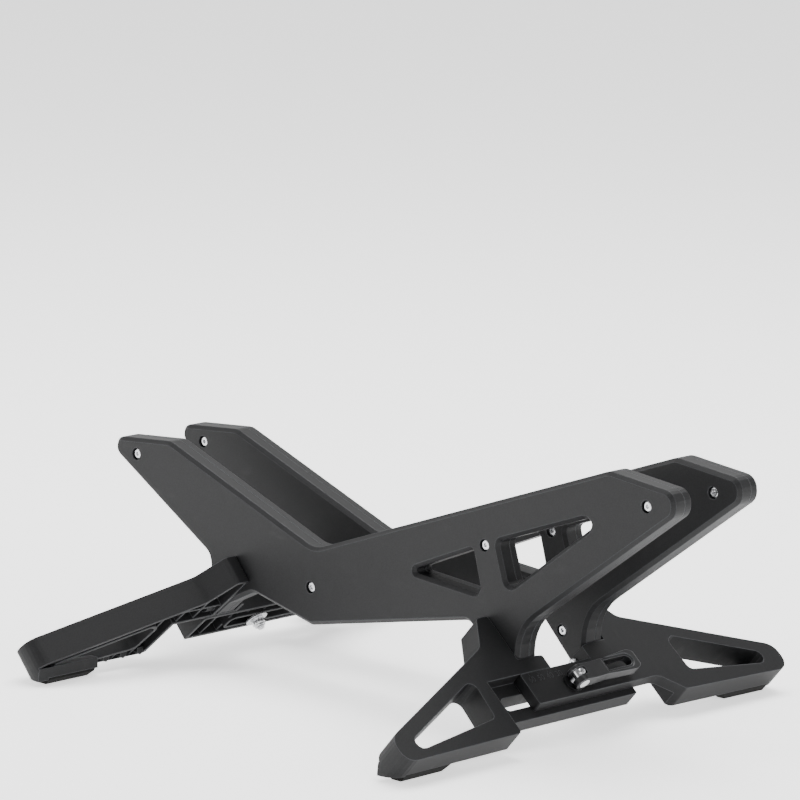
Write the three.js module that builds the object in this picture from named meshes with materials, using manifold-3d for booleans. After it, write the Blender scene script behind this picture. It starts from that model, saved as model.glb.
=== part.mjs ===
// Floor bike rack: two V shaped side plates stand in a front and a rear foot, a wheel apart.
// Each foot is two mouldings that slide in each other, so that the gap between the plates suits
// the tyre, and a cam lever on each foot clamps them.
// Millimetres, +Z up. X runs along the wheel's plane, with the taller arms towards +X, and Y across it.
import * as THREE from "three";
import { mergeVertices } from "three/addons/utils/BufferGeometryUtils.js";
import Module from "manifold-3d";

const wasm = await Module();
wasm.setup();

const arcSteps = 5; // straight steps in each rounded corner
const roundSides = 20; // sides of pins, bushes and washers
const screwSides = 12; // sides of screws, and of the posts and holes that take them
const clearance = 0.3; // gap between pieces that fit in or rest on each other
const seatGap = 0.05; // under a screw head or washer that is pulled tight
const headGap = 0.7; // round a screw head in its recess
const seamGap = 0.4; // open joint line round a plate
const slidingGap = 0.4; // gap between the two mouldings of a foot
const overshoot = 5; // how far a cutting solid runs past what it cuts

// Side plates
const channelWidth = 52.7; // free gap between the two plates, as set in the photograph
const plateThickness = 22.5;
const seamDepth = 13.2; // from the screw heads' face to the joint line
const plateWall = 2.6;
const plateChamfer = 3;
const armRise = THREE.MathUtils.degToRad(20);
const vertexX = -52; // bottom of the V, from the middle between the feet
const vertexZ = 109.5;
const vertexRadius = 25;
const rearBendX = -218;
const rearTipX = -281.7;
const rearTipFall = 5.4; // drop of the rear arm's level end
const rearTipHeight = 12.6;
const frontBendX = 257;
const frontTipX = 322.7;
const frontTipFall = 6.5;
const frontTipHeight = 17.3;
const keelX = -54; // lowest point of the plate between the feet
const keelZ = 47.4;
const rearKeelX = -119.7;
const rearKeelZ = 62.5;
const rearLegUp = 100.7; // how far up the foot's slope the plate's rear leg leaves its back
const frontKeelX = 116.5;
const frontKeelZ = 82.3;
const rearKneeZ = 84.6;
const frontKneeZ = 85.2;
const kneeSetBack = 71.3; // upright edges of the plate's two legs, inside the feet's reach
const smallWindow = [
  [37.7, 107.7, 5.5],
  [133, 101.2, 8],
  [121, 142.5, 4],
];
const largeWindow = [
  [155.7, 107.7, 9.2],
  [280.6, 202.1, 7.6],
  [141.4, 150.9, 8],
];
const plateScrewPlaces = [
  [-256.4, 153.7],
  [-54.4, 78.1],
  [132.4, 144.1],
  [295.7, 201.3],
];
const plateScrewRadius = 2.4;
const plateHeadRadius = 4.3;
const plateHeadHeight = 3.2;
const plateHeadSunk = 1.4;
const plateScrewLength = 14.6; // under the head
const bossWall = 2.4;

// Feet. Each is drawn flat and then leant back: x across the rack, y up its slope from the floor
// and z out of its front face, which is at z = 0.
const footTilt = THREE.MathUtils.degToRad(41);
const footReach = 241; // from the middle to where the face would meet the floor
const shellDepth = 24;
const shellWall = 2.8;
const ribWall = 1.8;
const ribSunk = 1.5; // how far the ribs stop short of the shell's edge
const cheekWall = 3.6; // wall between a plate's leg and the wheel
const postWidth = 12.6;
const postTop = 136.7;
const postFlankEnd = 77.5;
const postFlankFoot = 111.1;
const bandTop = 95.9; // front band across the plate's leg
const bandFall = 3.2;
const recessTop = 80.8;
const recessEnd = 93; // where the recess for the tongue stops
const legHeel = 34.6; // heel of the leg with the tongue
const guideHeel = 31.8;
const legEnd = 217.5;
const legToe = 30.6;
const legTipTop = 53.9;
const windowTipX = 237.5; // where the window's long edges would meet, past its rounded tip
const windowTipY = 34.7;
const guideWindowDrop = 1.8; // how much lower the window is in the leg with the guide
const windowTopSlope = 0.409;
const windowLowSlope = 0.125;
const windowLean = 2.5; // how far the window's short edge leans
const guideWindowStart = 105.5;
const tongueWindowStart = 111.5;
const tongueLow = 52.1;
const tongueEnd = 56.8;
const tongueThickness = 10;
const tongueSkin = 3;
const archStart = 78;
const archEnd = 97.5;
const guideLow = 46.6;
const guideEnd = 57;
const guideDepth = 24.5;
const guideSkin = 3;
const slotStart = 81;
const slotEnd = -20;
const slotWidth = 12;
const slotCorner = 4;
const slotRim = 2.4;
const slotRimRise = 1.2;
const ribPitch = 18.6;
const ribFirst = 72;
const ribCount = 6;
const ribFoot = 66; // above the pads, ribs start this far up the slope
const toeSolidTop = 44; // how far up the slope the toe is solid, under the window
const crossRib = 97; // one rib runs along each leg, this far up the slope

// Rubber pads, on level seats under the feet
const padStart = 157;
const padFootStart = 162; // the pad's inner end leans out from its sole
const padEnd = 206;
const padBackSet = 54.5; // edges of a pad, inside the foot's reach
const padThickness = 5.5;
const padFrontSet = 37;
const padBevel = 4; // round the sole
const padKeyWidth = 4; // key along a pad that presses into its seat
const padKeyHeight = 9;
const padKeySet = 49.5;
const padKeyEnds = 9; // the key stops this far from the pad's ends
const seatHeight = 14.4;
const toeLift = 4.2; // height of the toe, beyond the pad, over the floor
const toothFirst = 99.9;
const toothWidth = 3.2; // each way from its middle
const toothFlank = 8.2; // heights over the floor
const toothTop = 12;
const toothSet = 46; // inside the foot's reach

// Cam clamps
const boltX = -11.2;
const boltY = 63.6;
const boltRadius = 3;
const boltTail = 36.5; // behind the foot's face
const boltTop = 6; // past the pin's axis
const seatRadius = 8.9;
const seatThickness = 1.6;
const camRadius = 6.8;
const camBelow = 8.5; // the cam's half width down the slope
const camAbove = 6.2; // and up the slope
const camSlotWidth = 6.8;
const pinGap = 0.1; // the lever turns on the pin
const pinStandsOut = 0.4;
const threadGap = 0.05;
const pinRadius = 4.5;
const camLift = 0.6; // how far the cam's middle is from the pin's axis
const leverLength = 66;
const leverTipBelow = 8.9;
const leverTipAbove = 10.8;
const leverUnder = 3.2; // underside of the handle, below the pin's axis
const leverOver = 4.2; // top of the handle, above it
const leverSlotStart = 29;
const leverSlotEnd = 57.5;
const leverSlotWidth = 9;
const leverSlotMiddle = 0.8; // up the slope from the bolt
const leverRim = 2.2; // raised rim round the finger slot
const leverRimHeight = 0.7;
const bushRadius = 5.7;
const washerRadius = 9.5;
const washerThickness = 1.6;
const nutRadius = 5.8;
const nutLength = 7;

// Screws that hold each plate's legs in the feet, from the wheel's side
const legScrewRadius = 2.5;
const legHeadRadius = 4.2;
const legHeadHeight = 2.6;
const lowerScrewUp = 88;
const lowerScrewDepth = 16.2;
const lowerScrewLength = 34;
const upperScrewUp = 116;
const upperScrewDepth = 11;
const upperScrewLength = 29;
const upperScrewSunk = 3.4;
const legBossRadius = 5.4;
const legBossLength = 11;

const plateMaterial = new THREE.MeshStandardMaterial({ color: 0x3a3b3d, roughness: 0.6, metalness: 0 });
const footMaterial = new THREE.MeshStandardMaterial({ color: 0x2e2e30, roughness: 0.62, metalness: 0 });
const leverMaterial = new THREE.MeshStandardMaterial({ color: 0x323234, roughness: 0.5, metalness: 0 });
const rubberMaterial = new THREE.MeshStandardMaterial({ color: 0x2a2826, roughness: 0.85, metalness: 0 });
const steelMaterial = new THREE.MeshStandardMaterial({ color: 0xd2d2d4, roughness: 0.25, metalness: 1 });
const bushMaterial = new THREE.MeshStandardMaterial({ color: 0x1c1c1e, roughness: 0.6, metalness: 0 });

const plateInner = channelWidth / 2;
const plateOuter = plateInner + plateThickness;
const postInner = plateOuter + clearance;
const bandInner = plateInner - cheekWall - clearance;
const tongueTop = recessTop - clearance;
const guideFront = -tongueThickness - slidingGap;
const kneeX = footReach - kneeSetBack;
const padBack = footReach - padBackSet;
const padFront = footReach - padFrontSet;
const padKeyBack = footReach - padKeySet;
const toothBack = footReach - toothSet;
const legLift = padThickness + clearance; // height of the legs' lower edges over the floor
const archSlope = (tongueLow - legHeel) / (archEnd - archStart);
const pinZ = 2 * seatGap + seatThickness + camRadius + camLift;

// Geometry as a solid that can be cut and joined.
function toSolid(geometry) {
  const bare = geometry.clone();
  bare.deleteAttribute("normal");
  bare.deleteAttribute("uv");
  const merged = mergeVertices(bare, 1e-4);
  const mesh = new wasm.Mesh({
    numProp: 3,
    vertProperties: merged.attributes.position.array,
    triVerts: new Uint32Array(merged.index.array),
  });
  return new wasm.Manifold(mesh);
}

function toGeometry(solid) {
  const mesh = solid.getMesh();
  const geometry = new THREE.BufferGeometry();
  geometry.setAttribute("position", new THREE.BufferAttribute(mesh.vertProperties, 3));
  geometry.setIndex(new THREE.BufferAttribute(mesh.triVerts, 1));
  geometry.computeVertexNormals();
  return geometry;
}

function cut(solid, ...tools) {
  return tools.reduce((left, tool) => left.subtract(tool), solid);
}

function join(solid, ...others) {
  return others.reduce((whole, other) => whole.add(other), solid);
}

// The edges that meet at a corner, and how far the outline turns there.
function edgesAt(corners, index) {
  const [x, y] = corners[index];
  const before = corners.at(index - 1);
  const after = corners[(index + 1) % corners.length];
  const incoming = new THREE.Vector2(x - before[0], y - before[1]).normalize();
  const outgoing = new THREE.Vector2(after[0] - x, after[1] - y).normalize();
  const turn = Math.atan2(incoming.cross(outgoing), incoming.dot(outgoing));
  return { incoming, turn };
}

// Corners are [x, y, radius], anticlockwise.
function roundedPoints(corners) {
  const points = [];
  corners.forEach(([x, y, radius = 0], index) => {
    if (radius === 0) {
      points.push(new THREE.Vector2(x, y));
      return;
    }
    const { incoming, turn } = edgesAt(corners, index);
    const run = radius * Math.tan(Math.abs(turn) / 2);
    const side = Math.sign(turn) * radius;
    const startX = x - incoming.x * run;
    const startY = y - incoming.y * run;
    const centreX = startX - incoming.y * side;
    const centreY = startY + incoming.x * side;
    const first = Math.atan2(startY - centreY, startX - centreX);
    for (let step = 0; step <= arcSteps; step += 1) {
      const angle = first + (turn * step) / arcSteps;
      const across = radius * Math.cos(angle);
      const along = radius * Math.sin(angle);
      points.push(new THREE.Vector2(centreX + across, centreY + along));
    }
  });
  return points;
}

// The outline moved inwards by a distance, or outwards by a negative one.
function inset(corners, distance) {
  return corners.map(([x, y, radius = 0], index) => {
    const { incoming, turn } = edgesAt(corners, index);
    const slide = distance * Math.tan(turn / 2);
    const newX = x - incoming.y * distance - incoming.x * slide;
    const newY = y + incoming.x * distance - incoming.y * slide;
    const newRadius = radius === 0 ? 0 : Math.max(radius - Math.sign(turn) * distance, 0.6);
    return [newX, newY, newRadius];
  });
}

function mirrored(corners) {
  return corners.map(([x, y, radius]) => [-x, y, radius]).reverse();
}

// An outline raised from one height to another. The chamfer narrows both ends, or widens them where
// it is negative.
function prismGeometry(corners, low, high, chamfer = 0) {
  const depth = Math.abs(chamfer);
  const middle = roundedPoints(corners);
  const ends = depth > 0 ? roundedPoints(inset(corners, chamfer)) : middle;
  const layers = depth > 0
    ? [[ends, low], [middle, low + depth], [middle, high - depth], [ends, high]]
    : [[ends, low], [ends, high]];
  const positions = layers.flatMap(([points, z]) => points.flatMap(({ x, y }) => [x, y, z]));
  const count = middle.length;
  const indices = [];
  for (let layer = 0; layer < layers.length - 1; layer += 1) {
    for (let step = 0; step < count; step += 1) {
      const here = layer * count + step;
      const next = layer * count + ((step + 1) % count);
      indices.push(here, next, next + count, here, next + count, here + count);
    }
  }
  const top = (layers.length - 1) * count;
  for (const [a, b, c] of THREE.ShapeUtils.triangulateShape(ends, [])) {
    indices.push(a, c, b, top + a, top + b, top + c);
  }
  const geometry = new THREE.BufferGeometry();
  geometry.setAttribute("position", new THREE.Float32BufferAttribute(positions, 3));
  geometry.setIndex(indices);
  return geometry;
}

function prism(corners, low, high, chamfer = 0) {
  return toSolid(prismGeometry(corners, low, high, chamfer));
}

function rectangle(left, right, bottom, top, radius = 0) {
  return [
    [left, bottom, radius],
    [right, bottom, radius],
    [right, top, radius],
    [left, top, radius],
  ];
}

function block(left, right, bottom, top, low, high) {
  const geometry = new THREE.BoxGeometry(right - left, top - bottom, high - low);
  geometry.translate((left + right) / 2, (bottom + top) / 2, (low + high) / 2);
  return toSolid(geometry);
}

// A round bar along z.
function rod(radius, low, high, x = 0, y = 0, sides = screwSides) {
  const geometry = new THREE.CylinderGeometry(radius, radius, high - low, sides);
  geometry.rotateX(Math.PI / 2);
  geometry.translate(x, y, (low + high) / 2);
  return toSolid(geometry);
}

// A screw along z with its head on top: a pan head with a hexagon socket.
function socketScrew(radius, headRadius, headHeight, length) {
  const profile = [
    new THREE.Vector2(0, -length),
    new THREE.Vector2(radius * 0.6, -length),
    new THREE.Vector2(radius, -length + radius * 0.8),
    new THREE.Vector2(radius, 0),
    new THREE.Vector2(headRadius, 0),
    new THREE.Vector2(headRadius, headHeight * 0.55),
    new THREE.Vector2(headRadius * 0.72, headHeight),
    new THREE.Vector2(0, headHeight),
  ];
  const turned = new THREE.LatheGeometry(profile, screwSides);
  turned.rotateX(Math.PI / 2);
  const socket = new THREE.CylinderGeometry(radius * 0.68, radius * 0.68, headHeight, 6);
  socket.rotateX(Math.PI / 2);
  socket.translate(0, 0, headHeight * 0.95);
  return toGeometry(cut(toSolid(turned), toSolid(socket)));
}

// A nut or washer along z, open through its middle.
function ring(outerRadius, innerRadius, low, high) {
  return cut(
    rod(outerRadius, low, high, 0, 0, roundSides),
    rod(innerRadius, low - 1, high + 1, 0, 0, roundSides),
  );
}

function mesh(name, geometry, material) {
  const made = new THREE.Mesh(geometry, material);
  made.name = name;
  return made;
}

// Where a foot's point that is so far up the slope and so deep behind the face stands: [x, z].
function footPoint(up, depth) {
  return [
    footReach - Math.cos(footTilt) * up - Math.sin(footTilt) * depth,
    Math.sin(footTilt) * up - Math.cos(footTilt) * depth,
  ];
}

// The side plate's outline in x and z. Its legs end on the feet's inner wall and back edges.
function plateCorners() {
  const legEndUp = recessTop + shellWall + clearance;
  const [legBackX, legBackZ] = footPoint(legEndUp, shellDepth);
  const legFrontZ = legBackZ + (kneeX - legBackX) / Math.tan(footTilt);
  const rise = Math.tan(armRise);
  const rearBendZ = vertexZ + (vertexX - rearBendX) * rise;
  const frontBendZ = vertexZ + (frontBendX - vertexX) * rise;
  const rearTipZ = rearBendZ - rearTipFall;
  const frontTipZ = frontBendZ - frontTipFall;
  const [rearBackX, rearBackZ] = footPoint(rearLegUp, shellDepth);
  return [
    [vertexX, vertexZ, vertexRadius],
    [rearBendX, rearBendZ, 15],
    [rearTipX, rearTipZ, 8],
    [rearTipX, rearTipZ - rearTipHeight, 8],
    [-kneeX, rearKneeZ, 14],
    [-kneeX, legFrontZ, 2],
    [-legBackX, legBackZ, 1],
    [-rearBackX, rearBackZ, 6],
    [rearKeelX, rearKeelZ, 12],
    [keelX, keelZ, 8],
    [frontKeelX, frontKeelZ, 7],
    [legBackX, legBackZ, 1],
    [kneeX, legFrontZ, 2],
    [kneeX, frontKneeZ, 40],
    [frontTipX, frontTipZ - frontTipHeight, 11],
    [frontTipX, frontTipZ, 11],
    [frontBendX, frontBendZ, 15],
  ];
}

const plateOutline = plateCorners();
const plateWindows = [smallWindow, largeWindow].map((corners) => inset(corners, plateChamfer));

// Turns what is drawn in a plate's own frame, z out of the screw heads' face, to stand in the rack.
function standing(y) {
  return new THREE.Matrix4().makeRotationX(Math.PI / 2).setPosition(0, y, 0);
}

// Where a plate's two pairs of leg screws cross it: [x, z].
function legScrewPlaces() {
  const places = [
    footPoint(lowerScrewUp, lowerScrewDepth),
    footPoint(upperScrewUp, upperScrewDepth),
  ];
  return [...places, ...places.map(([x, z]) => [-x, z])];
}

// Solid posts inside a plate, round its own screws and the screws that hold its legs.
function plateBosses(low, high) {
  const own = plateScrewPlaces.map(([x, z]) => rod(plateHeadRadius + bossWall, low, high, x, z));
  const legs = legScrewPlaces().map(([x, z]) => rod(legBossRadius, low, high, x, z));
  return [...own, ...legs];
}

function platePocket(low, high) {
  const inside = prism(inset(plateOutline, plateWall), low, high);
  const windowWalls = plateWindows.map((corners) => prism(inset(corners, -plateWall), low - 1, high + 1));
  return cut(inside, ...windowWalls, ...plateBosses(low - 1, high + 1));
}

function wholePlate() {
  const windows = plateWindows.map((corners) => prism(corners, 0, plateThickness, -plateChamfer));
  return cut(prism(plateOutline, 0, plateThickness, plateChamfer), ...windows);
}

// Holes for the leg screws, with room for the upper screws' heads on the wheel's side of a plate.
function legScrewHoles(headsLow, headsHigh) {
  const [upperX, upperZ] = footPoint(upperScrewUp, upperScrewDepth);
  const through = legScrewPlaces().map(([x, z]) => {
    return rod(legScrewRadius + clearance, -1, plateThickness + 1, x, z);
  });
  const heads = [-1, 1].map((end) => {
    return rod(legHeadRadius + headGap, headsLow, headsHigh, end * upperX, upperZ);
  });
  return [...through, ...heads];
}

// The deep half of a plate's casing, which the screws go in through.
function screwShell(legHoles) {
  const seam = plateThickness - seamDepth + seamGap / 2;
  const pocket = platePocket(0, plateThickness - plateWall);
  const headFloor = plateThickness - plateHeadSunk - plateHeadHeight;
  const holes = plateScrewPlaces.flatMap(([x, z]) => [
    rod(plateScrewRadius + clearance, 0, plateThickness, x, z),
    rod(plateHeadRadius + headGap, headFloor, plateThickness + 1, x, z),
  ]);
  const half = cut(wholePlate(), block(-400, 400, -50, 400, -1, seam));
  return cut(half, pocket, ...holes, ...legHoles);
}

// The shallow half, which the screws bite into.
function biteShell(legHoles) {
  const seam = plateThickness - seamDepth - seamGap / 2;
  const pocket = platePocket(plateWall, plateThickness);
  const holes = plateScrewPlaces.map(([x, z]) => {
    return rod(plateScrewRadius + clearance, plateWall, seam + 1, x, z);
  });
  const half = cut(wholePlate(), block(-400, 400, -50, 400, seam, plateThickness + 1));
  return cut(half, pocket, ...holes, ...legHoles);
}

// One side plate: two shells and the four screws that hold them together.
function sidePlate(name, y, wheelSideLow) {
  const headsLow = wheelSideLow ? -1 : plateThickness - upperScrewSunk;
  const headsHigh = wheelSideLow ? upperScrewSunk : plateThickness + 1;
  const legHoles = legScrewHoles(headsLow, headsHigh);
  const group = new THREE.Group();
  group.applyMatrix4(standing(y));
  group.add(mesh(name + "_plate_screw_shell", toGeometry(screwShell(legHoles)), plateMaterial));
  group.add(mesh(name + "_plate_bite_shell", toGeometry(biteShell(legHoles)), plateMaterial));
  plateScrewPlaces.forEach(([x, z], index) => {
    const shape = socketScrew(plateScrewRadius, plateHeadRadius, plateHeadHeight, plateScrewLength);
    const screw = mesh(name + "_plate_screw_" + (index + 1), shape, steelMaterial);
    screw.position.set(x, z, plateThickness - plateHeadSunk - plateHeadHeight + seatGap);
    group.add(screw);
  });
  return group;
}

// How a foot stands in the rack: end is 1 for the front foot and -1 for the rear one, turned about.
function footMatrix(end) {
  const across = new THREE.Vector3(0, end, 0);
  const up = new THREE.Vector3(-end * Math.cos(footTilt), 0, Math.sin(footTilt));
  const out = new THREE.Vector3(end * Math.sin(footTilt), 0, Math.cos(footTilt));
  return new THREE.Matrix4().makeBasis(across, up, out).setPosition(end * footReach, 0, 0);
}

// Each half of a foot is drawn for side 1, which has the tongue, and turned over for side -1, which
// has the guide.
function toward(side, corners) {
  return side > 0 ? corners : mirrored(corners);
}

function sideBlock(side, start, end, bottom, top, low, high) {
  const [left, right] = side > 0 ? [start, end] : [-end, -start];
  return block(left, right, bottom, top, low, high);
}

// A round bar across the rack.
function crossRod(radius, start, end, side, y, z) {
  const geometry = new THREE.CylinderGeometry(radius, radius, end - start, screwSides);
  geometry.rotateZ(Math.PI / 2);
  geometry.translate((side * (start + end)) / 2, y, z);
  return toSolid(geometry);
}

// An outline of distance across and height from the floor, run level between two distances from the
// middle of the rack.
function levelPrism(corners, back, front) {
  const geometry = prismGeometry(corners, back, front);
  geometry.rotateX(Math.PI / 2);
  geometry.translate(0, footReach, 0);
  geometry.rotateX(-footTilt);
  return toSolid(geometry);
}

// The leg's outline, from the recess that the other half slides in, round to the top of the post.
function legSweep(side) {
  const heel = side > 0
    ? [[recessEnd, legHeel + (archEnd - recessEnd) * archSlope, 0], [archEnd, legHeel, 3]]
    : [[recessEnd, guideHeel, 3]];
  return [
    [recessEnd, recessTop, 0],
    ...heel,
    [legEnd, legToe, 11],
    [legEnd, legTipTop, 13],
    [postFlankEnd, postFlankFoot, 14],
    [postInner + postWidth, postTop, 5],
    [postInner, postTop, 2],
  ];
}

function legCorners(side) {
  return [
    [bandInner, recessTop, 0],
    ...legSweep(side),
    [postInner, bandTop, 0],
    [bandInner, bandTop - bandFall, 2],
  ];
}

function legWindow(side) {
  const start = side > 0 ? tongueWindowStart : guideWindowStart;
  const tipY = side > 0 ? windowTipY : windowTipY - guideWindowDrop;
  const length = windowTipX - start;
  return [
    [start + windowLean, tipY + length * windowLowSlope, 5.5],
    [windowTipX, tipY, 6.2],
    [start, tipY + length * windowTopSlope, 6.5],
  ];
}

// Ribs inside a foot, between its skin and a little below its rim, and the solid toe over its pad.
function legRibs(side) {
  const low = ribSunk - shellDepth;
  const high = 1 - shellWall;
  const half = ribWall / 2;
  const along = sideBlock(side, postInner, legEnd, crossRib - half, crossRib + half, low, high);
  const toe = sideBlock(side, padStart - shellWall, legEnd, 0, toeSolidTop, low, high);
  const ribs = [along, toe];
  for (let index = 0; index < ribCount; index += 1) {
    const middle = ribFirst + ribPitch * index;
    const foot = middle < padStart ? 0 : ribFoot;
    ribs.push(sideBlock(side, middle - half, middle + half, foot, postTop, low, high));
  }
  return ribs;
}

function legBosses(side) {
  const end = postInner + legBossLength;
  return [
    crossRod(legBossRadius, postInner + 1, end, side, lowerScrewUp, -lowerScrewDepth),
    crossRod(legBossRadius, postInner + 1, end, side, upperScrewUp, -upperScrewDepth),
  ];
}

function legHollow(side) {
  const rim = inset([[postInner, recessTop, 0], ...legSweep(side)], shellWall);
  const hollow = prism(toward(side, rim), -shellDepth - overshoot, -shellWall);
  const windowWall = prism(toward(side, inset(legWindow(side), -shellWall)), -shellDepth - overshoot, 0);
  return cut(hollow, windowWall, ...legRibs(side), ...legBosses(side));
}

function padKey(side, gap) {
  const corners = rectangle(padStart + padKeyEnds - gap, padEnd - padKeyEnds + gap, 1, padKeyHeight + gap);
  return levelPrism(toward(side, corners), padKeyBack - gap, padKeyBack + padKeyWidth + gap);
}

function deepLeg(side, high) {
  return prism(toward(side, legCorners(side)), -2 * shellDepth, high);
}

// A slope of the pad's sole, from a line along the pad at the floor, turned back or forwards.
function soleBevel(side, distance, turn) {
  const geometry = new THREE.BoxGeometry(2 * padEnd, shellDepth, shellDepth);
  geometry.translate(side * padEnd, 0, -shellDepth / 2);
  geometry.rotateX(turn);
  geometry.translate(0, footReach - distance, 0);
  geometry.rotateX(-footTilt);
  return toSolid(geometry);
}

function pad(side) {
  const corners = [
    [padFootStart, 0, 0],
    [padEnd, 0, 0],
    [padEnd, padThickness, 0],
    [padStart, padThickness, 0],
  ];
  const sole = levelPrism(toward(side, corners), padBack, footReach).intersect(deepLeg(side, 0));
  const bevels = [
    soleBevel(side, padBack + padBevel, Math.PI / 4),
    soleBevel(side, padFront - padBevel, -Math.PI / 6),
  ];
  return toGeometry(cut(join(sole, padKey(side, 0)), ...bevels));
}

// The level seat over a leg's pad, which ends beside it in the toe.
function padSeat(side) {
  const corners = rectangle(padStart - shellWall, legEnd, 0, seatHeight);
  return levelPrism(toward(side, corners), padBack, footReach).intersect(deepLeg(side, -shellWall));
}

// Small teeth behind the lower edge of a leg's heel.
function heelTeeth(side) {
  const teeth = [];
  for (let x = toothFirst; x < padStart - ribPitch; x += ribPitch) {
    const corners = [
      [x, legLift, 0],
      [x + toothWidth, toothFlank, 0],
      [x + toothWidth, toothTop, 0],
      [x - toothWidth, toothTop, 0],
      [x - toothWidth, toothFlank, 0],
    ];
    teeth.push(levelPrism(toward(side, corners), toothBack, footReach));
  }
  return join(...teeth).intersect(deepLeg(side, -shellWall));
}

// The space that a plate's leg takes in a foot, open behind.
function plateSocket(end, side) {
  const y = end * side > 0 ? plateOuter : -plateInner;
  const toFoot = footMatrix(end).invert().multiply(standing(y));
  const plate = prismGeometry(inset(plateOutline, -clearance), -clearance, plateThickness + clearance);
  const legEndUp = recessTop + shellWall;
  const behind = sideBlock(
    side,
    plateInner - clearance,
    plateOuter + clearance,
    legEndUp,
    postTop,
    -shellDepth - overshoot,
    -shellDepth * 0.8,
  );
  return join(toSolid(plate.applyMatrix4(toFoot)), behind);
}

// The flat tongue with the scale on its face, and the arch where it joins its leg.
function tongueLayer() {
  const joinX = recessEnd + 1;
  const corners = [
    [-tongueEnd, tongueLow, 1.5],
    [archStart, tongueLow, 13],
    [joinX, legHeel + (archEnd - joinX) * archSlope, 0],
    [joinX, recessTop + 1, 0],
    [bandInner + 1, recessTop + 1, 0],
    [bandInner + 1, tongueTop, 0],
    [-tongueEnd, tongueTop, 1.5],
  ];
  const pocket = prism(
    rectangle(-tongueEnd + shellWall, archStart, tongueLow + shellWall, tongueTop - shellWall, 1.5),
    -tongueThickness - 1,
    -tongueSkin,
  );
  const kept = [rod(washerRadius, -tongueThickness - 1, 0, boltX, boltY, roundSides)];
  for (let x = ribFirst - ribPitch; x > -tongueEnd; x -= ribPitch) {
    kept.push(block(x - ribWall / 2, x + ribWall / 2, tongueLow, tongueTop, -tongueThickness, 0));
  }
  return cut(prism(corners, -tongueThickness, 0), cut(pocket, ...kept));
}

function slotOutline(grow) {
  return rectangle(
    -slotStart - grow,
    -slotEnd + grow,
    boltY - slotWidth / 2 - grow,
    boltY + slotWidth / 2 + grow,
    slotCorner + grow,
  );
}

// The deeper plate behind the tongue, with the slot that the clamp's bolt slides in.
function guideLayer() {
  const back = -guideDepth;
  const corners = [
    [-guideEnd, guideLow, 1.5],
    [recessEnd + 1.5, guideLow, 0],
    [recessEnd + 1.5, recessTop + 1, 0],
    [bandInner + 1, recessTop + 1, 0],
    [bandInner + 1, tongueTop, 0],
    [-guideEnd, tongueTop, 1.5],
  ];
  const low = guideLow + shellWall;
  const inside = rectangle(-guideEnd + shellWall, recessEnd, low, tongueTop - shellWall, 1.5);
  const pocket = prism(mirrored(inside), back - 1, guideFront - guideSkin);
  const rim = prism(slotOutline(slotRim), back - slotRimRise, guideFront);
  const kept = [prism(slotOutline(slotRim), back - 2, guideFront)];
  for (let x = ribFirst; x > -guideEnd; x -= ribPitch) {
    kept.push(block(-x - ribWall / 2, -x + ribWall / 2, guideLow, tongueTop, back + ribSunk, guideFront));
  }
  const plate = cut(prism(mirrored(corners), back, guideFront), cut(pocket, ...kept));
  return cut(join(plate, rim), prism(slotOutline(0), back - overshoot, 0));
}

function legScrewBores(side) {
  const radius = legScrewRadius + clearance;
  const lowerEnd = bandInner + lowerScrewLength + clearance;
  const upperEnd = plateInner + upperScrewSunk + upperScrewLength + clearance;
  return [
    crossRod(radius, bandInner - 1, lowerEnd, side, lowerScrewUp, -lowerScrewDepth),
    crossRod(radius, plateInner, upperEnd, side, upperScrewUp, -upperScrewDepth),
  ];
}

// What is cut off level under a leg.
function underLeg(side) {
  const corners = [
    [0, -shellDepth, 0],
    [legEnd + 1, -shellDepth, 0],
    [legEnd + 1, toeLift, 0],
    [padEnd + clearance, toeLift, 0],
    [padEnd + clearance, legLift, 0],
    [0, legLift, 0],
  ];
  return levelPrism(toward(side, corners), 0, footReach);
}

// One half of a foot, for end 1 or -1 of the rack: side 1 has the tongue and side -1 the guide.
function footHalf(end, side) {
  const leg = prism(toward(side, legCorners(side)), -shellDepth, 0);
  const hollowed = cut(leg, legHollow(side), prism(toward(side, legWindow(side)), -shellDepth - 1, 1));
  const slider = side > 0 ? tongueLayer() : guideLayer();
  const whole = join(hollowed, slider, padSeat(side), heelTeeth(side));
  const tools = [plateSocket(end, side), underLeg(side), padKey(side, clearance), ...legScrewBores(side)];
  if (side > 0) {
    tools.push(rod(boltRadius + clearance, -shellDepth, 1, boltX, boltY, roundSides));
  }
  return toGeometry(cut(whole, ...tools));
}

// A round bar along a foot's slope, through or beside the pin's axis.
function axleRod(radius, below, above, lift) {
  const geometry = new THREE.CylinderGeometry(radius, radius, above + below, 2 * screwSides);
  geometry.translate(0, (above - below) / 2, pinZ + lift);
  return toSolid(geometry);
}

// The finger slot of the lever, straight towards the cam and round towards the tip.
function fingerSlot(grow) {
  const low = leverSlotMiddle - leverSlotWidth / 2 - grow;
  const high = leverSlotMiddle + leverSlotWidth / 2 + grow;
  const tip = leverSlotWidth / 2 + grow - 0.1;
  return [
    [leverSlotStart - grow, low, 1.2],
    [leverSlotEnd + grow, low, tip],
    [leverSlotEnd + grow, high, tip],
    [leverSlotStart - grow, high, 1.2],
  ];
}

// The lever seen along the foot's slope.
function leverSide() {
  return [
    [0, pinZ - camRadius * 0.7, 0],
    [15, pinZ - camRadius * 0.6, 12],
    [34, pinZ - leverUnder - 0.8, 40],
    [leverLength, pinZ - leverUnder, 2],
    [leverLength, pinZ + leverOver, 3],
    [34, pinZ + leverOver, 60],
    [0, pinZ + camRadius - camLift, 0],
  ];
}

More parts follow.
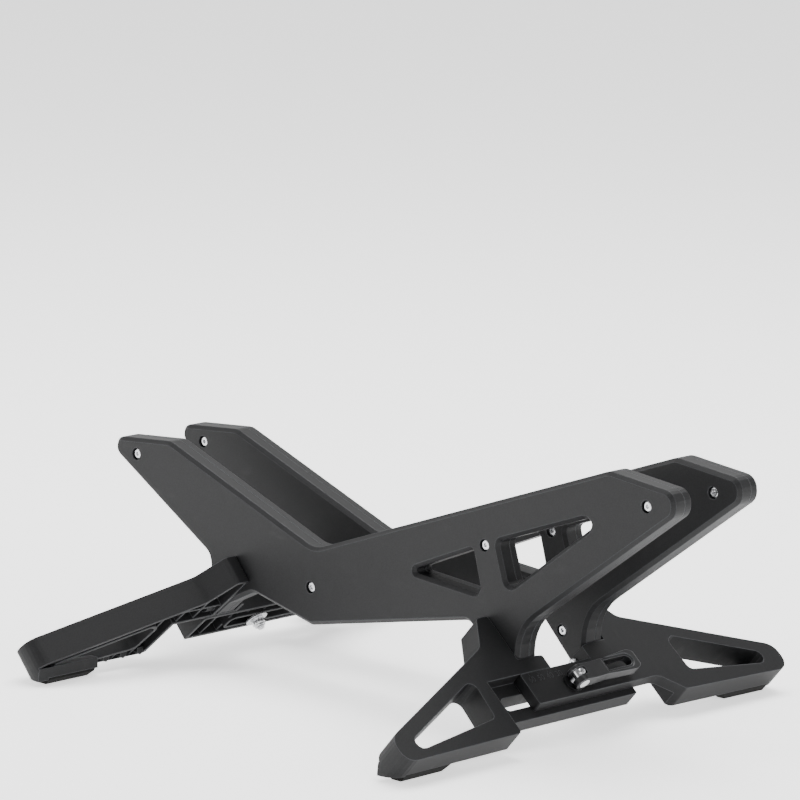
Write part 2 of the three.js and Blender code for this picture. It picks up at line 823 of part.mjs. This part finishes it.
// The lever seen square to the foot's face: it widens to a round handle.
function leverPlan() {
  const tip = (leverTipBelow + leverTipAbove) / 2 - 0.9;
  return [
    [-camRadius, -camBelow, 1],
    [12, -camBelow, 12],
    [26, -leverTipBelow + 1.4, 30],
    [leverLength, -leverTipBelow, tip],
    [leverLength, leverTipAbove, tip],
    [32, camAbove + 1.4, 40],
    [12, camAbove, 12],
    [-camRadius, camAbove, 1],
  ];
}

// The lever lies along the foot. Its cam turns on the pin and bears on the seat.
function lever() {
  const wide = leverTipBelow + leverTipAbove;
  const arm = prismGeometry(leverSide(), -wide, wide).rotateX(Math.PI / 2);
  const cam = axleRod(camRadius, camBelow, camAbove, -camLift);
  const body = join(cam, toSolid(arm)).intersect(prism(leverPlan(), 0, 2 * pinZ));
  const dish = prism(fingerSlot(leverRim), pinZ + leverOver - leverRimHeight, 2 * pinZ);
  const half = camSlotWidth / 2;
  const bolt = block(-2 * camRadius, half, -half, half, 0, 3 * pinZ);
  const boltSweep = axleRod(Math.hypot(boltTop, boltRadius) + clearance, half, half, 0);
  const pinHole = axleRod(pinRadius + pinGap, wide, wide, 0);
  return toGeometry(cut(body, bolt, boltSweep, pinHole, dish, prism(fingerSlot(0), 0, 2 * pinZ)));
}

function camPin() {
  const pin = axleRod(pinRadius, camBelow + pinStandsOut, camAbove + pinStandsOut, 0);
  return toGeometry(cut(pin, rod(boltRadius + threadGap, 0, 2 * pinZ, 0, 0, roundSides)));
}

// The clamp through a foot: lever, pin, bolt, seat, bush, washer and nut.
function clamp(name) {
  const group = new THREE.Group();
  group.position.set(boltX, boltY, 0);
  const rim = -guideDepth - slotRimRise;
  const washerTop = rim - seatGap;
  const nutTop = washerTop - washerThickness - seatGap;
  const bush = ring(bushRadius, boltRadius + clearance, rim + clearance, -tongueThickness - slidingGap);
  const washer = ring(washerRadius, boltRadius + clearance, washerTop - washerThickness, washerTop);
  const nut = ring(nutRadius, boltRadius + threadGap, nutTop - nutLength, nutTop);
  const seat = ring(seatRadius, boltRadius + clearance, seatGap, seatGap + seatThickness);
  const bolt = rod(boltRadius, -boltTail, pinZ + boltTop, 0, 0, roundSides);
  group.add(mesh(name + "_lever", lever(), leverMaterial));
  group.add(mesh(name + "_cam_pin", camPin(), steelMaterial));
  group.add(mesh(name + "_clamp_bolt", toGeometry(bolt), steelMaterial));
  group.add(mesh(name + "_cam_seat", toGeometry(seat), bushMaterial));
  group.add(mesh(name + "_slot_bush", toGeometry(bush), bushMaterial));
  group.add(mesh(name + "_clamp_washer", toGeometry(washer), steelMaterial));
  group.add(mesh(name + "_clamp_nut", toGeometry(nut), steelMaterial));
  return group;
}

// A screw that holds a plate's leg, driven from the wheel's side.
function legScrew(name, side, x, up, depth, length) {
  const screw = mesh(name, socketScrew(legScrewRadius, legHeadRadius, legHeadHeight, length), steelMaterial);
  screw.rotation.y = (-side * Math.PI) / 2;
  screw.position.set(side * (x - seatGap), up, -depth);
  return screw;
}

// One foot with its two halves, pads, leg screws and clamp.
function foot(end, name) {
  const group = new THREE.Group();
  for (const side of [-1, 1]) {
    const half = (end * side > 0 ? "far_" : "near_") + name;
    const upperX = plateInner + upperScrewSunk;
    group.add(mesh(half + "_foot", footHalf(end, side), footMaterial));
    group.add(mesh(half + "_pad", pad(side), rubberMaterial));
    const screws = [
      ["lower", bandInner, lowerScrewUp, lowerScrewDepth, lowerScrewLength],
      ["upper", upperX, upperScrewUp, upperScrewDepth, upperScrewLength],
    ];
    for (const [place, ...sizes] of screws) {
      group.add(legScrew(half + "_leg_screw_" + place, side, ...sizes));
    }
  }
  group.add(clamp(name));
  group.applyMatrix4(footMatrix(end));
  return group;
}

const rack = new THREE.Group();
rack.add(sidePlate("near", -plateInner, true));
rack.add(sidePlate("far", plateOuter, false));
rack.add(foot(1, "front"));
rack.add(foot(-1, "rear"));
rack.position.x = -(frontTipX + rearTipX) / 2;

export default rack;
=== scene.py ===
import math

import bmesh
import bpy
from mathutils import Matrix, Vector


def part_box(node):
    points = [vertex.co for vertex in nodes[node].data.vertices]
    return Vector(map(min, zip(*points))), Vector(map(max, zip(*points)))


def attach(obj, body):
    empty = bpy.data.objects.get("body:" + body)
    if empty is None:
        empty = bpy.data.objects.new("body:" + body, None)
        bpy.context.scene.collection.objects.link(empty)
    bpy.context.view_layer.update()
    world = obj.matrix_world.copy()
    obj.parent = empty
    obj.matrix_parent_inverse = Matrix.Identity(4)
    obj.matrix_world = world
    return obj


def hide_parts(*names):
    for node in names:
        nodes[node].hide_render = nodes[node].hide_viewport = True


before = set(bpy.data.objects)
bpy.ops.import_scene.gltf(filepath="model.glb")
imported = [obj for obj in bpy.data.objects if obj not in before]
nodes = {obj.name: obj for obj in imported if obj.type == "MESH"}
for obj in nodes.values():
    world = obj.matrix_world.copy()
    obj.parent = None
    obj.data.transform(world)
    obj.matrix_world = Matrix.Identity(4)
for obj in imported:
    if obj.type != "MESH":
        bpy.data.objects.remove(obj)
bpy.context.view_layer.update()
print("frame loaded:", len(nodes), "nodes")

mm = 0.001


# colours and nodes

def toLinear(hexColour):
    channels = [int(hexColour[i:i + 2], 16) / 255 for i in (1, 3, 5)]
    linear = [c / 12.92 if c <= 0.04045 else ((c + 0.055) / 1.055) ** 2.4 for c in channels]
    return (*linear, 1.0)


# settings go on the node where it has them, otherwise on its inputs
def addNode(tree, kind, settings, links):
    node = tree.nodes.new(kind)
    for key, value in settings.items():
        if isinstance(key, str) and hasattr(node, key):
            setattr(node, key, value)
        else:
            node.inputs[key].default_value = value
    for key, socket in links.items():
        tree.links.new(socket, node.inputs[key])
    return node


def newMaterial(name):
    material = bpy.data.materials.new(name)
    material.use_nodes = True
    tree = material.node_tree
    tree.nodes.clear()
    place = addNode(tree, "ShaderNodeTexCoord", {}, {})
    return material, tree, place.outputs["Object"]


def finishMaterial(tree, settings, links):
    surface = addNode(tree, "ShaderNodeBsdfPrincipled", settings, links)
    addNode(tree, "ShaderNodeOutputMaterial", {}, {"Surface": surface.outputs["BSDF"]})


# where each pattern starts and where it is full
mouldedDetail = {
    "rubStart": 0.62, "rubFull": 0.78, "speckStart": 0.35, "speckFull": 0.7,
    "edgeStart": 0.995, "edgeFull": 0.86,  # cosine between the true and the rounded normal
}
bevelSamples = 6


# Injection moulded plastic: a fine spark-eroded grain that breaks up the light, slow cloudy changes of
# tone,
# and a painted highlight: edges painted paler, standing in for the bright lines that light draws along
# rounded edges.
def mouldedPlastic(name, look):
    material, tree, place = newMaterial(name)
    cloud = addNode(tree, "ShaderNodeTexNoise",
                    {"Scale": 1 / look["cloudSize"], "Detail": 3.0}, {"Vector": place})
    grain = addNode(tree, "ShaderNodeTexNoise",
                    {"Scale": 1 / look["grainSize"], "Detail": 2.0, "Roughness": 0.6}, {"Vector": place})
    stretched = addNode(tree, "ShaderNodeMapping", {"Scale": look["rubStretch"]}, {"Vector": place})
    rubs = addNode(tree, "ShaderNodeTexNoise",
                   {"Scale": 1 / look["rubSize"], "Detail": 4.0}, {"Vector": stretched.outputs[0]})
    rubMask = addNode(tree, "ShaderNodeMapRange",
                      {"From Min": mouldedDetail["rubStart"], "From Max": mouldedDetail["rubFull"],
                       "To Min": 0.0, "To Max": 1.0},
                      {"Value": rubs.outputs[0]})
    # the rounded normal differs from the true one only along edges
    softEdge = addNode(tree, "ShaderNodeBevel", {"samples": bevelSamples, "Radius": look["edgeRadius"]}, {})
    shape = addNode(tree, "ShaderNodeNewGeometry", {}, {})
    facing = addNode(tree, "ShaderNodeVectorMath", {"operation": "DOT_PRODUCT"},
                     {0: softEdge.outputs[0], 1: shape.outputs["Normal"]})
    # painted highlight: this mask grows along edges, where the rounded normal turns away from the true one
    edge = addNode(tree, "ShaderNodeMapRange",
                   {"From Min": mouldedDetail["edgeStart"], "From Max": mouldedDetail["edgeFull"],
                    "To Min": 0.0, "To Max": look["paintedEdgeHighlight"]},
                   {"Value": facing.outputs["Value"]})
    tone = addNode(tree, "ShaderNodeMix",
                   {"data_type": "RGBA", 6: toLinear(look["dark"]), 7: toLinear(look["light"])},
                   {0: cloud.outputs[0]})
    speck = addNode(tree, "ShaderNodeMapRange",
                    {"From Min": mouldedDetail["speckStart"], "From Max": mouldedDetail["speckFull"],
                     "To Min": 0.0, "To Max": look["speck"]},
                    {"Value": grain.outputs[0]})
    grained = addNode(tree, "ShaderNodeMix", {"data_type": "RGBA", 7: toLinear(look["speckAndEdgeHighlight"])},
                      {0: speck.outputs[0], 6: tone.outputs[2]})
    # painted highlight: the pale colour mixed in along edges stands for light caught on the rounded edges
    speckAndEdgeHighlight = addNode(tree, "ShaderNodeMix", {"data_type": "RGBA", 7: toLinear(look["speckAndEdgeHighlight"])},
                   {0: edge.outputs[0], 6: grained.outputs[2]})
    rough = addNode(tree, "ShaderNodeMapRange",
                    {"From Min": 0.0, "From Max": 1.0,
                     "To Min": look["roughness"], "To Max": look["rubbedRoughness"]},
                    {"Value": rubMask.outputs[0]})
    bump = addNode(tree, "ShaderNodeBump",
                   {"Strength": look["grainStrength"], "Distance": look["grainHeight"]},
                   {"Height": grain.outputs[0], "Normal": softEdge.outputs[0]})
    finishMaterial(tree, {"IOR": look["ior"], "Specular IOR Level": look["gloss"], "Metallic": 0.0},
                   {"Base Color": speckAndEdgeHighlight.outputs[2], "Roughness": rough.outputs[0],
                    "Normal": bump.outputs[0]})
    return material


# Turned and plated steel: fine rings left by the tool, which stretch its highlights.
def turnedSteel(name, look):
    material, tree, place = newMaterial(name)
    rings = addNode(tree, "ShaderNodeTexNoise",
                    {"Scale": 1 / look["ringSize"], "Detail": 3.0}, {"Vector": place})
    tone = addNode(tree, "ShaderNodeMix",
                   {"data_type": "RGBA", 6: toLinear(look["dark"]), 7: toLinear(look["light"])},
                   {0: rings.outputs[0]})
    rough = addNode(tree, "ShaderNodeMapRange",
                    {"From Min": 0.3, "From Max": 0.7,
                     "To Min": look["smoothest"], "To Max": look["roughest"]},
                    {"Value": rings.outputs[0]})
    softEdge = addNode(tree, "ShaderNodeBevel", {"samples": bevelSamples, "Radius": look["edgeRadius"]}, {})
    bump = addNode(tree, "ShaderNodeBump", {"Strength": 0.3, "Distance": look["ringHeight"]},
                   {"Height": rings.outputs[0], "Normal": softEdge.outputs[0]})
    finishMaterial(tree, {"Metallic": 1.0},
                   {"Base Color": tone.outputs[2], "Roughness": rough.outputs[0],
                    "Normal": bump.outputs[0]})
    return material


# Pressed rubber: dull, with dust caught in a coarse skin.
def pressedRubber(name, look):
    material, tree, place = newMaterial(name)
    skin = addNode(tree, "ShaderNodeTexNoise",
                   {"Scale": 1 / look["skinSize"], "Detail": 4.0}, {"Vector": place})
    dust = addNode(tree, "ShaderNodeTexNoise",
                   {"Scale": 1 / look["dustSize"], "Detail": 5.0}, {"Vector": place})
    dusty = addNode(tree, "ShaderNodeMapRange",
                    {"From Min": 0.45, "From Max": 0.75, "To Min": 0.0, "To Max": look["dustAmount"]},
                    {"Value": dust.outputs[0]})
    tone = addNode(tree, "ShaderNodeMix",
                   {"data_type": "RGBA", 6: toLinear(look["rubber"]), 7: toLinear(look["dust"])},
                   {0: dusty.outputs[0]})
    bump = addNode(tree, "ShaderNodeBump", {"Strength": 0.5, "Distance": look["skinHeight"]},
                   {"Height": skin.outputs[0]})
    finishMaterial(tree, {"IOR": look["ior"], "Specular IOR Level": look["gloss"],
                          "Roughness": look["roughness"], "Metallic": 0.0},
                   {"Base Color": tone.outputs[2], "Normal": bump.outputs[0]})
    return material


# glass-filled nylon from a spark-eroded mould: a soft, broad sheen
plateNylon = mouldedPlastic("plate_nylon_moulded", {
    "dark": "#101011", "light": "#151516", "speckAndEdgeHighlight": "#56585b", "ior": 1.53, "gloss": 0.2,
    "roughness": 0.52, "rubbedRoughness": 0.4,
    "cloudSize": 90 * mm, "grainSize": 0.9 * mm,  # the real grain is near 0.1 mm, drawn coarser to show
    "grainHeight": 0.05 * mm, "grainStrength": 0.35, "speck": 0.05,
    "rubSize": 30 * mm, "rubStretch": (1.0, 1.0, 3.0),
    "edgeRadius": 1.2 * mm, "paintedEdgeHighlight": 0.5,
})
# the same nylon with more glass: darker and duller
footNylon = mouldedPlastic("foot_nylon_moulded", {
    "dark": "#0e0e0f", "light": "#121213", "speckAndEdgeHighlight": "#56585b", "ior": 1.53, "gloss": 0.2,
    "roughness": 0.55, "rubbedRoughness": 0.42,
    "cloudSize": 70 * mm, "grainSize": 0.8 * mm,  # drawn coarser than the real 0.1 mm
    "grainHeight": 0.05 * mm, "grainStrength": 0.4, "speck": 0.05,
    "rubSize": 22 * mm, "rubStretch": (1.0, 2.5, 1.0),
    "edgeRadius": 1.2 * mm, "paintedEdgeHighlight": 0.6,
})
# handled often: polished by fingers, so shinier
leverNylon = mouldedPlastic("lever_nylon_moulded", {
    "dark": "#121213", "light": "#171718", "speckAndEdgeHighlight": "#56585b", "ior": 1.53, "gloss": 0.32,
    "roughness": 0.38, "rubbedRoughness": 0.26,
    "cloudSize": 20 * mm, "grainSize": 0.6 * mm,
    "grainHeight": 0.03 * mm, "grainStrength": 0.3, "speck": 0.06,
    "rubSize": 9 * mm, "rubStretch": (1.0, 2.0, 1.0),
    "edgeRadius": 1.0 * mm, "paintedEdgeHighlight": 0.55,
})
# black acetal, turned: smooth and waxy
bushAcetal = mouldedPlastic("bush_acetal_turned", {
    "dark": "#0b0b0c", "light": "#0f0f10", "speckAndEdgeHighlight": "#242426", "ior": 1.48, "gloss": 0.35,
    "roughness": 0.35, "rubbedRoughness": 0.28,
    "cloudSize": 6 * mm, "grainSize": 0.5 * mm,
    "grainHeight": 0.01 * mm, "grainStrength": 0.2, "speck": 0.04,
    "rubSize": 3 * mm, "rubStretch": (1.0, 1.0, 4.0),
    "edgeRadius": 0.3 * mm, "paintedEdgeHighlight": 0.2,
})
# raised figures, rubbed paler than the face that they stand on
scaleNylon = mouldedPlastic("scale_nylon_raised", {
    "dark": "#1b1b1c", "light": "#232325", "speckAndEdgeHighlight": "#4a4c4f", "ior": 1.53, "gloss": 0.35,
    "roughness": 0.42, "rubbedRoughness": 0.32,
    "cloudSize": 12 * mm, "grainSize": 0.6 * mm,
    "grainHeight": 0.02 * mm, "grainStrength": 0.2, "speck": 0.05,
    "rubSize": 6 * mm, "rubStretch": (1.0, 1.0, 1.0),
    "edgeRadius": 0.08 * mm, "paintedEdgeHighlight": 0.5,
})
# steel with bright zinc plate: near white, softly mirrored
zincSteel = turnedSteel("screw_steel_plated", {
    "dark": "#b4b5b8", "light": "#e2e2e4", "smoothest": 0.2, "roughest": 0.34,
    "ringSize": 0.7 * mm, "ringHeight": 0.01 * mm, "edgeRadius": 0.15 * mm,
})
# chrome on a turned pin: a clear mirror
chromeSteel = turnedSteel("pin_steel_chromed", {
    "dark": "#c8c9cc", "light": "#ececee", "smoothest": 0.06, "roughest": 0.14,
    "ringSize": 1.2 * mm, "ringHeight": 0.004 * mm, "edgeRadius": 0.25 * mm,
})
# soft black rubber, pressed: almost no sheen
padRubber = pressedRubber("pad_rubber_pressed", {
    "rubber": "#0a0a09", "dust": "#24221f", "dustAmount": 0.35, "roughness": 0.82,
    "ior": 1.5, "gloss": 0.2,
    "skinSize": 0.9 * mm, "skinHeight": 0.08 * mm, "dustSize": 7 * mm,
})
print("materials made")


# mesh building

creaseAngle = math.radians(35)  # edges sharper than this stay sharp on new pieces

def newPiece(name, vertices, faces, matrix, material, body):
    mesh = bpy.data.meshes.new(name)
    mesh.from_pydata([matrix @ Vector(v) for v in vertices], [], faces)
    mesh.validate()
    builder = bmesh.new()
    builder.from_mesh(mesh)
    bmesh.ops.recalc_face_normals(builder, faces=builder.faces)
    builder.to_mesh(mesh)
    builder.free()
    mesh.materials.append(material)
    mesh.shade_smooth()
    mesh.set_sharp_from_angle(angle=creaseAngle)
    piece = bpy.data.objects.new(name, mesh)
    bpy.context.scene.collection.objects.link(piece)
    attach(piece, body)
    return piece


# Rings are (radius, height, hexagon). A radius of 0 closes an end with one point.
def turned(rings, sides, closed=False):
    vertices, faces, starts = [], [], []
    for radius, height, hexagon in rings:
        starts.append((len(vertices), 1 if radius == 0 else sides))
        for step in range(1 if radius == 0 else sides):
            angle = 2 * math.pi * step / sides
            reach = radius
            if hexagon:
                reach *= math.cos(math.pi / 6) / math.cos(angle % (math.pi / 3) - math.pi / 6)
            vertices.append((reach * math.cos(angle), reach * math.sin(angle), height))
    pairs = list(zip(starts, starts[1:])) + ([(starts[-1], starts[0])] if closed else [])
    for (low, lowCount), (high, highCount) in pairs:
        for step in range(sides):
            after = (step + 1) % sides
            if lowCount == 1:
                faces.append((low, high + after, high + step))
            elif highCount == 1:
                faces.append((low + step, low + after, high))
            else:
                faces.append((low + step, low + after, high + after, high + step))
    return vertices, faces


# a bar with a real helical thread
def threadedRings(thread):
    vertices, faces = [], []
    sides = thread["sides"]
    step = thread["pitch"] / thread["stepsPerTurn"]
    count = round((thread["high"] - thread["low"]) / step)
    for ring in range(count + 1):
        height = thread["low"] + (thread["high"] - thread["low"]) * ring / count
        fromEnd = min(ring, count - ring) * step
        taper = max(0.0, thread["endTaper"] - fromEnd)  # the ends are cut to a short cone
        for side in range(sides):
            phase = (height / thread["pitch"] - side / sides) % 1.0
            radius = thread["radius"] - thread["depth"] * (1 - abs(2 * phase - 1)) - taper
            angle = 2 * math.pi * side / sides
            vertices.append((radius * math.cos(angle), radius * math.sin(angle), height))
    for ring in range(count):
        for side in range(sides):
            here, after = ring * sides + side, ring * sides + (side + 1) % sides
            faces.append((here, after, after + sides, here + sides))
    for ring, height in ((0, thread["low"]), (count, thread["high"])):
        middle = len(vertices)
        vertices.append((0.0, 0.0, height))
        first = ring * sides
        faces += [(middle, first + side, first + (side + 1) % sides) for side in range(sides)]
    return vertices, faces


# screws

screwsPerPlate = 4
shoulderSteps = 5
plateScrew = {
    "shank": 2.4 * mm, "length": 14.6 * mm, "head": 4.3 * mm, "headHeight": 3.2 * mm,
    "socket": 1.75 * mm, "socketDepth": 1.7 * mm, "sides": 48,
}
legScrews = {
    "lower": {"shank": 2.5 * mm, "length": 34 * mm, "head": 4.2 * mm, "headHeight": 2.6 * mm,
              "socket": 1.8 * mm, "socketDepth": 1.5 * mm, "sides": 48},
    "upper": {"shank": 2.5 * mm, "length": 29 * mm, "head": 4.2 * mm, "headHeight": 2.6 * mm,
              "socket": 1.8 * mm, "socketDepth": 1.5 * mm, "sides": 48},
}


def screwRings(screw):
    head, height = screw["head"], screw["headHeight"]
    rings = [(0, -screw["length"], False), (0.6 * screw["shank"], -screw["length"], False),
             (screw["shank"], 0.8 * screw["shank"] - screw["length"], False),
             (screw["shank"], 0, False), (0.97 * head, 0, False), (head, 0.06 * height, False),
             (head, 0.5 * height, False)]
    for step in range(1, shoulderSteps + 1):  # rounded shoulder
        turn = math.pi / 2 * step / shoulderSteps
        rings.append((head * (0.66 + 0.34 * math.cos(turn)),
                      height * (0.5 + 0.5 * math.sin(turn)), False))
    socket, floor = screw["socket"], height - screw["socketDepth"]
    return rings + [(1.08 * socket, height, True), (socket, height - 0.12 * mm, True),
                    (socket, floor, True), (0.5 * socket, floor - 0.3 * mm, False),
                    (0, floor - 0.5 * mm, False)]


# the head's top faces along y, at the low or high end of the CAD screw's box
def addScrew(name, screw, headsTowards):
    low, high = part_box(name)
    middle = (low + high) / 2
    top = high.y if headsTowards > 0 else low.y
    place = Matrix.Translation((middle.x, top - headsTowards * screw["headHeight"], middle.z))
    turn = Matrix.Rotation(-headsTowards * math.pi / 2, 4, "X")
    vertices, faces = turned(screwRings(screw), screw["sides"])
    body = "near_side" if name.startswith("near") else "far_side"
    piece = newPiece(name + "_turned", vertices, faces, place @ turn, zincSteel, body)
    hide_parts(name)


for side in ("near", "far"):
    for index in range(1, screwsPerPlate + 1):
        addScrew(f"{side}_plate_screw_{index}", plateScrew, -1)
    for end in ("front", "rear"):
        for level, screw in legScrews.items():
            addScrew(f"{side}_{end}_leg_screw_{level}", screw, 1 if side == "near" else -1)
print("screws made")


# clamps and scales, placed in each foot's own frame: x across, y up its slope, z out of its face

foot = {"tilt": math.radians(41), "reach": 241 * mm, "middle": -20.5 * mm}


def footMatrix(end):
    lean = foot["tilt"]
    across = Vector((0, end, 0))
    up = Vector((-end * math.cos(lean), 0, math.sin(lean)))
    out = Vector((end * math.sin(lean), 0, math.cos(lean)))
    matrix = Matrix((across, up, out)).transposed().to_4x4()
    matrix.translation = (end * foot["reach"] + foot["middle"], 0, 0)
    return matrix


clampPlace = (-11.2 * mm, 63.6 * mm, 0)
clampThread = {  # M6
    "radius": 3 * mm, "pitch": 1 * mm, "depth": 0.5 * mm, "stepsPerTurn": 6, "sides": 24,
    "low": -36.5 * mm, "high": 15.1 * mm, "endTaper": 0.5 * mm,
}
clampNut = {  # hexagon locking nut with a nylon collar
    "top": -27.4 * mm, "length": 7 * mm, "corners": 5.8 * mm, "collar": 4.7 * mm, "bore": 3.05 * mm,
    "sides": 48,
}


def nutRings(nut):
    top, corners, collar, bore = nut["top"], nut["corners"], nut["collar"], nut["bore"]
    low = top - nut["length"]
    return [(bore, top, False), (0.86 * corners, top, False), (corners, top - 0.35 * mm, True),
            (corners, low + 2.5 * mm, True), (0.86 * corners, low + 2.1 * mm, False),
            (collar, low + 1.9 * mm, False), (collar, low + 0.7 * mm, False),
            (0.94 * collar, low + 0.2 * mm, False), (0.85 * collar, low, False),
            (bore, low, False)]


for end, body in ((1, "far_side"), (-1, "near_side")):
    name = "front" if end > 0 else "rear"
    stand = footMatrix(end) @ Matrix.Translation(clampPlace)
    vertices, faces = threadedRings(clampThread)
    bolt = newPiece(name + "_threaded_bolt", vertices, faces, stand, zincSteel, body)
    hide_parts(name + "_clamp_bolt")
    vertices, faces = turned(nutRings(clampNut), clampNut["sides"], closed=True)
    nut = newPiece(name + "_locking_nut", vertices, faces, stand, zincSteel, body)
    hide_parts(name + "_clamp_nut")
print("clamps made")

# raised widths on the tongue, ten millimetres apart
scale = {
    "figures": ("60", "50", "40", "30"), "first": -48.6 * mm, "pitch": 10 * mm,
    "figureUp": 71.6 * mm, "height": 5.4 * mm, "tickUp": 77 * mm, "tickLength": 2.6 * mm,
    "tickWidth": 0.45 * mm, "tickTaper": 0.1 * mm, "proud": 0.16 * mm, "sunk": 0.05 * mm,
    "fontRatio": 1.35,  # type size over the height of its figures
}


def figureMesh(text):
    curve = bpy.data.curves.new("figure", "FONT")
    curve.body = text
    curve.size = scale["height"] * scale["fontRatio"]
    curve.align_x = "CENTER"
    curve.extrude = (scale["proud"] + scale["sunk"]) / 2
    curve.resolution_u = 3
    holder = bpy.data.objects.new("figure", curve)
    bpy.context.scene.collection.objects.link(holder)
    shown = holder.evaluated_get(bpy.context.evaluated_depsgraph_get())
    mesh = bpy.data.meshes.new_from_object(shown)
    bpy.data.objects.remove(holder)
    return mesh


def addScale(name, end, body):
    vertices, faces = [], []
    lift = (scale["proud"] - scale["sunk"]) / 2
    for index, text in enumerate(scale["figures"]):
        across = scale["first"] + index * scale["pitch"]
        mesh = figureMesh(text)
        start = len(vertices)
        vertices += [(v.co.x + across, v.co.y + scale["figureUp"], v.co.z + lift) for v in mesh.vertices]
        faces += [tuple(start + i for i in polygon.vertices) for polygon in mesh.polygons]
        bpy.data.meshes.remove(mesh)
        start = len(vertices)
        half, top = scale["tickWidth"] / 2, scale["proud"]
        # a tick is narrower on top, so that it leaves its mould
        for z, shrink in ((-scale["sunk"], 0.0), (top, scale["tickTaper"])):
            for x, y in ((-half + shrink, 0), (half - shrink, 0),
                         (half - shrink, scale["tickLength"]), (-half + shrink, scale["tickLength"])):
                vertices.append((across + x, scale["tickUp"] + y, z))
        for quad in ((3, 2, 1, 0), (4, 5, 6, 7), (0, 1, 5, 4), (1, 2, 6, 5), (2, 3, 7, 6), (3, 0, 4, 7)):
            faces.append(tuple(start + i for i in quad))
    newPiece(name, vertices, faces, footMatrix(end), scaleNylon, body)


addScale("front_scale", 1, "far_side")
addScale("rear_scale", -1, "near_side")
print("scales made")


# the solids that stay: their finish by name
finishes = (
    ("plate_screw_shell", plateNylon), ("plate_bite_shell", plateNylon), ("_foot", footNylon),
    ("_pad", padRubber), ("_lever", leverNylon), ("cam_pin", chromeSteel),
    ("cam_seat", bushAcetal), ("slot_bush", bushAcetal), ("screw", zincSteel), ("clamp", zincSteel),
)
solidCrease = math.radians(30)
for name, node in nodes.items():
    material = next(finish for part, finish in finishes if part in name)
    node.data.materials.clear()
    node.data.materials.append(material)
    node.data.shade_smooth()
    node.data.set_sharp_from_angle(angle=solidCrease)
print("solids finished")


# floor, light and camera

sweep = {
    "dark": "#f4f4f4", "light": "#f8f8f8", "mottle": 1.5, "roughness": 0.55, "ior": 1.45,
    "glow": 1.1, "reach": 20.0,
}


def addFloor():
    material, tree, place = newMaterial("studio_floor")
    mottle = addNode(tree, "ShaderNodeTexNoise",
                     {"Scale": sweep["mottle"], "Detail": 2.0}, {"Vector": place})
    tone = addNode(tree, "ShaderNodeMix",
                   {"data_type": "RGBA", 6: toLinear(sweep["dark"]), 7: toLinear(sweep["light"])},
                   {0: mottle.outputs[0]})
    # a translucent sweep, lit a little from beneath so that it stays white far behind the rack
    finishMaterial(tree, {"Roughness": sweep["roughness"], "IOR": sweep["ior"],
                          "Emission Color": toLinear("#ffffff"), "Emission Strength": sweep["glow"]},
                   {"Base Color": tone.outputs[2]})
    mesh = bpy.data.meshes.new("studio_floor")
    reach = sweep["reach"]
    mesh.from_pydata([(-reach, -reach, 0), (reach, -reach, 0), (reach, reach, 0), (-reach, reach, 0)],
                     [], [(0, 1, 2, 3)])
    mesh.materials.append(material)
    floor = bpy.data.objects.new("studio_floor", mesh)
    bpy.context.scene.collection.objects.link(floor)


addFloor()

lights = {  # place, aim, size, watts
    "top_softbox": ((-0.3, 0.5, 2.4), (0, 0, 0.1), 2.0, 120),
    "left_softbox": ((-2.0, -1.6, 1.3), (0, 0, 0.1), 1.3, 34),
    "right_softbox": ((2.2, -0.6, 1.1), (0.1, 0, 0.05), 0.8, 14),
}
for name, (place, aim, size, watts) in lights.items():
    data = bpy.data.lights.new(name, "AREA")
    data.energy = watts
    data.size = size
    lamp = bpy.data.objects.new(name, data)
    lamp.location = place
    lamp.rotation_mode = "QUATERNION"
    lamp.rotation_quaternion = (Vector(aim) - Vector(place)).to_track_quat("-Z", "Y")
    bpy.context.scene.collection.objects.link(lamp)

sky = {"horizon": 2.3, "overhead": 0.35, "lowEnd": 0.05, "highEnd": 0.6}  # white walls, dim ceiling
world = bpy.data.worlds.new("studio")
bpy.context.scene.world = world
world.use_nodes = True
tree = world.node_tree
direction = addNode(tree, "ShaderNodeTexCoord", {}, {})
parts = addNode(tree, "ShaderNodeSeparateXYZ", {}, {"Vector": direction.outputs["Generated"]})
glow = addNode(tree, "ShaderNodeMapRange",
               {"From Min": sky["lowEnd"], "From Max": sky["highEnd"],
                "To Min": sky["horizon"], "To Max": sky["overhead"]}, {"Value": parts.outputs["Z"]})
background = tree.nodes["Background"]
background.inputs["Color"].default_value = toLinear("#ffffff")
tree.links.new(glow.outputs[0], background.inputs["Strength"])

cameraView = {  # solved from the photograph
    "azimuth": math.radians(43.966), "elevation": math.radians(11.21), "roll": math.radians(1.087),
    "distance": 4.2527, "across": -0.002745, "up": 0.223378, "shift": (-0.0165, -0.0012, 0.004),
    "lens": 241.85, "sensor": 36.0,
}


def addCamera():
    azimuth, elevation, roll = (cameraView[k] for k in ("azimuth", "elevation", "roll"))
    back = Vector((math.sin(azimuth) * math.cos(elevation),
                   -math.cos(azimuth) * math.cos(elevation), math.sin(elevation)))
    level = Vector((math.cos(azimuth), math.sin(azimuth), 0))
    upright = back.cross(level)
    right = math.cos(roll) * level + math.sin(roll) * upright
    up = math.cos(roll) * upright - math.sin(roll) * level
    data = bpy.data.cameras.new("camera")
    data.lens, data.sensor_width = cameraView["lens"], cameraView["sensor"]
    camera = bpy.data.objects.new("camera", data)
    matrix = Matrix((right, up, back)).transposed().to_4x4()
    matrix.translation = (back * cameraView["distance"] + right * cameraView["across"]
                          + up * cameraView["up"] + Vector(cameraView["shift"]))
    camera.matrix_world = matrix
    bpy.context.scene.collection.objects.link(camera)
    bpy.context.scene.camera = camera


addCamera()
print("studio made")
